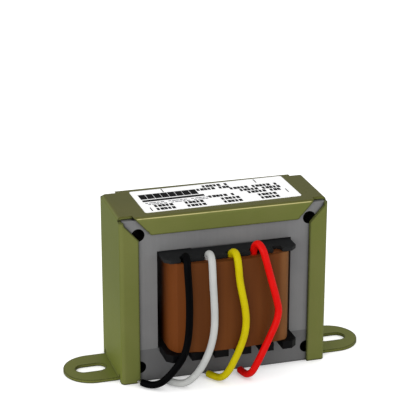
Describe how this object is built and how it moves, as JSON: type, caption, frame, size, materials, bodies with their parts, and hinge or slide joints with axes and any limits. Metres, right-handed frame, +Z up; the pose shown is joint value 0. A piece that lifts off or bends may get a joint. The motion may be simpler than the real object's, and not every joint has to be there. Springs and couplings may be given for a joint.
{
  "type": "laminated chassis transformer",
  "caption": "Laminated mains transformer in a folded mounting bracket with slotted feet, with a coil on a two-flange bobbin and flying leads.",
  "frame": {"origin": "centre of the core on the mounting plane, which the feet's undersides and the core's bottom share", "axes": "+X from one foot to the other, +Y away from the side with the leads, through the stack, +Z up from the mounting plane"},
  "size_m": [0.1002, 0.048, 0.0562],
  "materials": {
    "bracket_plate": "olive chromate finish, satin",
    "lamination": "varnished silicon steel, satin grey",
    "lamination_bar": "varnished silicon steel, satin grey",
    "bobbin_plastic": "black moulded nylon",
    "enamelled_wire": "enamelled copper wire",
    "barrier_film": "polyester film",
    "wrap_tape": "brown varnished wrap",
    "pvc_black": "black insulation",
    "pvc_white": "white insulation",
    "pvc_yellow": "yellow insulation",
    "pvc_red": "red insulation",
    "tinned_copper": "tinned strands and solder",
    "sleeving": "woven insulating sleeve",
    "label_film": "white label"
  },
  "bodies": {
    "root": {"bracket": "bracket_plate", "e_laminations_legs_down": "lamination", "i_laminations_bottom": "lamination_bar", "e_laminations_legs_up": "lamination", "i_laminations_top": "lamination_bar", "bobbin": "bobbin_plastic", "primary_winding": "enamelled_wire", "winding_barrier": "barrier_film", "secondary_winding": "enamelled_wire", "outer_wrap": "wrap_tape", "lead_black": "pvc_black", "lead_white": "pvc_white", "lead_yellow": "pvc_yellow", "lead_red": "pvc_red", "lead_end_black": "tinned_copper", "lead_end_white": "tinned_copper", "lead_end_yellow": "tinned_copper", "lead_end_red": "tinned_copper", "joint_sleeve_black": "sleeving", "joint_sleeve_white": "sleeving", "joint_sleeve_yellow": "sleeving", "joint_sleeve_red": "sleeving", "solder_joint_black": "tinned_copper", "solder_joint_white": "tinned_copper", "solder_joint_yellow": "tinned_copper", "solder_joint_red": "tinned_copper", "rating_label": "label_film"}
  },
  "joints": []
}
